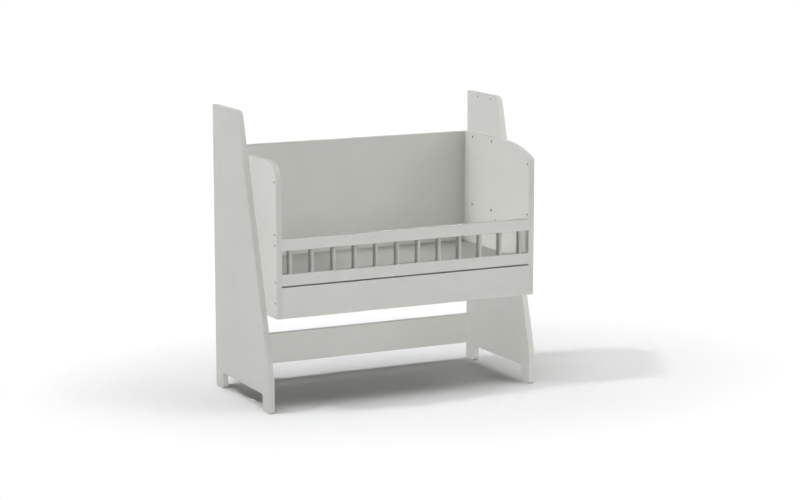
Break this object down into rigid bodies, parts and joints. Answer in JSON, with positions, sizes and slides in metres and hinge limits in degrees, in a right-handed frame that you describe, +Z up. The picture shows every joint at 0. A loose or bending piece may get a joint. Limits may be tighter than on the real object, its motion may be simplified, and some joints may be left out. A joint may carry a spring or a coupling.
{
  "type": "bedside crib",
  "caption": "Bedside crib bolted between two tall slanted stands, with a high back, a low spindle barrier at the front and a lift-out base board.",
  "frame": {"origin": "on the floor, under the middle of the crib", "axes": "+X along the crib to the right, +Y to its back, +Z up"},
  "size_m": [0.892, 0.436, 0.873],
  "materials": {
    "grey_lacquer": "satin grey lacquer on board",
    "coated_bolt": "coated to match",
    "zinc_plated_steel": "zinc plated",
    "cast_zinc": "as cast, dull",
    "beech": "bare, fluted"
  },
  "bodies": {
    "crib": {"stand_left": "grey_lacquer", "stand_right": "grey_lacquer", "stretcher": "grey_lacquer", "end_panel_left": "grey_lacquer", "end_panel_right": "grey_lacquer", "back_panel": "grey_lacquer", "front_apron": "grey_lacquer", "barrier_top_rail": "grey_lacquer", "barrier_bottom_rail": "grey_lacquer", "spindle_01": "grey_lacquer", "spindle_02": "grey_lacquer", "spindle_03": "grey_lacquer", "spindle_04": "grey_lacquer", "spindle_05": "grey_lacquer", "spindle_06": "grey_lacquer", "spindle_07": "grey_lacquer", "spindle_08": "grey_lacquer", "spindle_09": "grey_lacquer", "spindle_10": "grey_lacquer", "spindle_11": "grey_lacquer", "spindle_12": "grey_lacquer", "batten_left": "grey_lacquer", "batten_right": "grey_lacquer", "batten_front": "grey_lacquer", "batten_back": "grey_lacquer", "body_bolts_left": "coated_bolt", "body_bolts_right": "coated_bolt", "barrier_bolts": "coated_bolt", "apron_bolts": "coated_bolt", "insert_nuts_left": "zinc_plated_steel", "insert_nuts_right": "zinc_plated_steel", "barrier_barrel_nuts": "zinc_plated_steel", "apron_barrel_nuts": "zinc_plated_steel", "back_panel_cam_pins": "zinc_plated_steel", "stretcher_cam_pins": "zinc_plated_steel", "batten_screws": "zinc_plated_steel", "back_panel_cams": "cast_zinc", "stretcher_cams": "cast_zinc", "apron_dowels": "beech", "rail_dowels": "beech", "back_panel_dowels": "beech", "stretcher_dowels": "beech"},
    "base": {"base_board": "grey_lacquer"}
  },
  "joints": [
    {"name": "base_board_lift", "type": "slide", "parent": "crib", "child": "base", "axis": [0, 0, 1], "range_m": [0, 0.37]}
  ]
}
